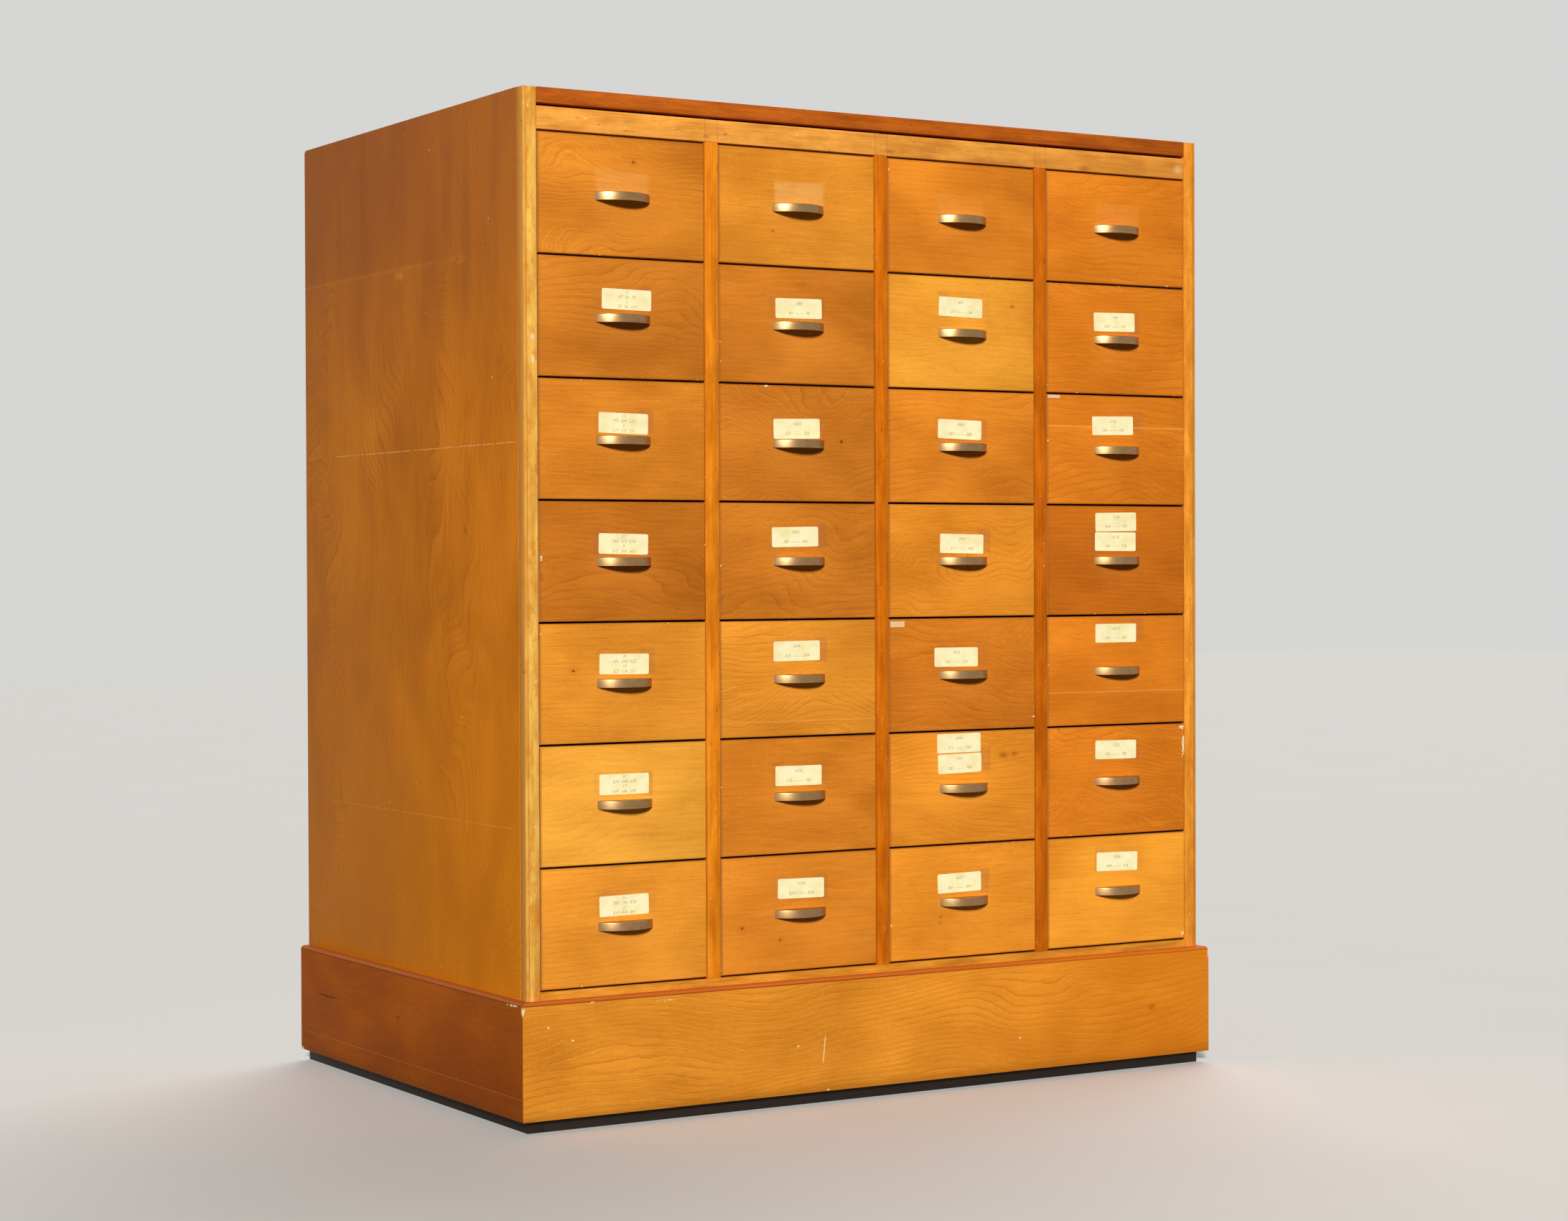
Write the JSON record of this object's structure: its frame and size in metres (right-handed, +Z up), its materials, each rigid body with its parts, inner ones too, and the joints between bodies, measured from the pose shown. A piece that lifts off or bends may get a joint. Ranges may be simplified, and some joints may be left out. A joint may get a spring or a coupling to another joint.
{
  "type": "card catalog cabinet",
  "caption": "Floor-standing plywood cabinet of small card drawers in four columns, each drawer with a half-moon cup pull, on a boxed plinth.",
  "frame": {"origin": "on the floor, under the middle of the cabinet's outline with its pulls", "axes": "+Z up, drawers face and open towards -Y, +X to the right seen from the front"},
  "size_m": [1.066, 0.708, 1.282],
  "materials": {
    "birch_plywood": "amber-stained birch plywood, satin varnish",
    "case_birch": "amber-stained birch plywood and lipping, satin varnish",
    "top_birch": "stained top board with a reddish softwood edge, satin varnish",
    "plain_plywood": "unfinished plywood",
    "bronze": "brushed bronze-tone metal"
  },
  "bodies": {
    "case": {"carcass": "case_birch", "top_panel": "top_birch", "back_panel": "plain_plywood", "plinth": "case_birch"},
    "drawer_r1_c1": {"drawer_r1_c1": "birch_plywood", "pull_r1_c1": "bronze"},
    "drawer_r1_c2": {"drawer_r1_c2": "birch_plywood", "pull_r1_c2": "bronze"},
    "drawer_r1_c3": {"drawer_r1_c3": "birch_plywood", "pull_r1_c3": "bronze"},
    "drawer_r1_c4": {"drawer_r1_c4": "birch_plywood", "pull_r1_c4": "bronze"},
    "drawer_r2_c1": {"drawer_r2_c1": "birch_plywood", "pull_r2_c1": "bronze"},
    "drawer_r2_c2": {"drawer_r2_c2": "birch_plywood", "pull_r2_c2": "bronze"},
    "drawer_r2_c3": {"drawer_r2_c3": "birch_plywood", "pull_r2_c3": "bronze"},
    "drawer_r2_c4": {"drawer_r2_c4": "birch_plywood", "pull_r2_c4": "bronze"},
    "drawer_r3_c1": {"drawer_r3_c1": "birch_plywood", "pull_r3_c1": "bronze"},
    "drawer_r3_c2": {"drawer_r3_c2": "birch_plywood", "pull_r3_c2": "bronze"},
    "drawer_r3_c3": {"drawer_r3_c3": "birch_plywood", "pull_r3_c3": "bronze"},
    "drawer_r3_c4": {"drawer_r3_c4": "birch_plywood", "pull_r3_c4": "bronze"},
    "drawer_r4_c1": {"drawer_r4_c1": "birch_plywood", "pull_r4_c1": "bronze"},
    "drawer_r4_c2": {"drawer_r4_c2": "birch_plywood", "pull_r4_c2": "bronze"},
    "drawer_r4_c3": {"drawer_r4_c3": "birch_plywood", "pull_r4_c3": "bronze"},
    "drawer_r4_c4": {"drawer_r4_c4": "birch_plywood", "pull_r4_c4": "bronze"},
    "drawer_r5_c1": {"drawer_r5_c1": "birch_plywood", "pull_r5_c1": "bronze"},
    "drawer_r5_c2": {"drawer_r5_c2": "birch_plywood", "pull_r5_c2": "bronze"},
    "drawer_r5_c3": {"drawer_r5_c3": "birch_plywood", "pull_r5_c3": "bronze"},
    "drawer_r5_c4": {"drawer_r5_c4": "birch_plywood", "pull_r5_c4": "bronze"},
    "drawer_r6_c1": {"drawer_r6_c1": "birch_plywood", "pull_r6_c1": "bronze"},
    "drawer_r6_c2": {"drawer_r6_c2": "birch_plywood", "pull_r6_c2": "bronze"},
    "drawer_r6_c3": {"drawer_r6_c3": "birch_plywood", "pull_r6_c3": "bronze"},
    "drawer_r6_c4": {"drawer_r6_c4": "birch_plywood", "pull_r6_c4": "bronze"},
    "drawer_r7_c1": {"drawer_r7_c1": "birch_plywood", "pull_r7_c1": "bronze"},
    "drawer_r7_c2": {"drawer_r7_c2": "birch_plywood", "pull_r7_c2": "bronze"},
    "drawer_r7_c3": {"drawer_r7_c3": "birch_plywood", "pull_r7_c3": "bronze"},
    "drawer_r7_c4": {"drawer_r7_c4": "birch_plywood", "pull_r7_c4": "bronze"}
  },
  "joints": [
    {"name": "slide_r1_c1", "type": "slide", "parent": "case", "child": "drawer_r1_c1", "axis": [0, -1, 0], "range_m": [0, 0.52]},
    {"name": "slide_r1_c2", "type": "slide", "parent": "case", "child": "drawer_r1_c2", "axis": [0, -1, 0], "range_m": [0, 0.52]},
    {"name": "slide_r1_c3", "type": "slide", "parent": "case", "child": "drawer_r1_c3", "axis": [0, -1, 0], "range_m": [0, 0.52]},
    {"name": "slide_r1_c4", "type": "slide", "parent": "case", "child": "drawer_r1_c4", "axis": [0, -1, 0], "range_m": [0, 0.52]},
    {"name": "slide_r2_c1", "type": "slide", "parent": "case", "child": "drawer_r2_c1", "axis": [0, -1, 0], "range_m": [0, 0.52]},
    {"name": "slide_r2_c2", "type": "slide", "parent": "case", "child": "drawer_r2_c2", "axis": [0, -1, 0], "range_m": [0, 0.52]},
    {"name": "slide_r2_c3", "type": "slide", "parent": "case", "child": "drawer_r2_c3", "axis": [0, -1, 0], "range_m": [0, 0.52]},
    {"name": "slide_r2_c4", "type": "slide", "parent": "case", "child": "drawer_r2_c4", "axis": [0, -1, 0], "range_m": [0, 0.52]},
    {"name": "slide_r3_c1", "type": "slide", "parent": "case", "child": "drawer_r3_c1", "axis": [0, -1, 0], "range_m": [0, 0.52]},
    {"name": "slide_r3_c2", "type": "slide", "parent": "case", "child": "drawer_r3_c2", "axis": [0, -1, 0], "range_m": [0, 0.52]},
    {"name": "slide_r3_c3", "type": "slide", "parent": "case", "child": "drawer_r3_c3", "axis": [0, -1, 0], "range_m": [0, 0.52]},
    {"name": "slide_r3_c4", "type": "slide", "parent": "case", "child": "drawer_r3_c4", "axis": [0, -1, 0], "range_m": [0, 0.52]},
    {"name": "slide_r4_c1", "type": "slide", "parent": "case", "child": "drawer_r4_c1", "axis": [0, -1, 0], "range_m": [0, 0.52]},
    {"name": "slide_r4_c2", "type": "slide", "parent": "case", "child": "drawer_r4_c2", "axis": [0, -1, 0], "range_m": [0, 0.52]},
    {"name": "slide_r4_c3", "type": "slide", "parent": "case", "child": "drawer_r4_c3", "axis": [0, -1, 0], "range_m": [0, 0.52]},
    {"name": "slide_r4_c4", "type": "slide", "parent": "case", "child": "drawer_r4_c4", "axis": [0, -1, 0], "range_m": [0, 0.52]},
    {"name": "slide_r5_c1", "type": "slide", "parent": "case", "child": "drawer_r5_c1", "axis": [0, -1, 0], "range_m": [0, 0.52]},
    {"name": "slide_r5_c2", "type": "slide", "parent": "case", "child": "drawer_r5_c2", "axis": [0, -1, 0], "range_m": [0, 0.52]},
    {"name": "slide_r5_c3", "type": "slide", "parent": "case", "child": "drawer_r5_c3", "axis": [0, -1, 0], "range_m": [0, 0.52]},
    {"name": "slide_r5_c4", "type": "slide", "parent": "case", "child": "drawer_r5_c4", "axis": [0, -1, 0], "range_m": [0, 0.52]},
    {"name": "slide_r6_c1", "type": "slide", "parent": "case", "child": "drawer_r6_c1", "axis": [0, -1, 0], "range_m": [0, 0.52]},
    {"name": "slide_r6_c2", "type": "slide", "parent": "case", "child": "drawer_r6_c2", "axis": [0, -1, 0], "range_m": [0, 0.52]},
    {"name": "slide_r6_c3", "type": "slide", "parent": "case", "child": "drawer_r6_c3", "axis": [0, -1, 0], "range_m": [0, 0.52]},
    {"name": "slide_r6_c4", "type": "slide", "parent": "case", "child": "drawer_r6_c4", "axis": [0, -1, 0], "range_m": [0, 0.52]},
    {"name": "slide_r7_c1", "type": "slide", "parent": "case", "child": "drawer_r7_c1", "axis": [0, -1, 0], "range_m": [0, 0.52]},
    {"name": "slide_r7_c2", "type": "slide", "parent": "case", "child": "drawer_r7_c2", "axis": [0, -1, 0], "range_m": [0, 0.52]},
    {"name": "slide_r7_c3", "type": "slide", "parent": "case", "child": "drawer_r7_c3", "axis": [0, -1, 0], "range_m": [0, 0.52]},
    {"name": "slide_r7_c4", "type": "slide", "parent": "case", "child": "drawer_r7_c4", "axis": [0, -1, 0], "range_m": [0, 0.52]}
  ]
}
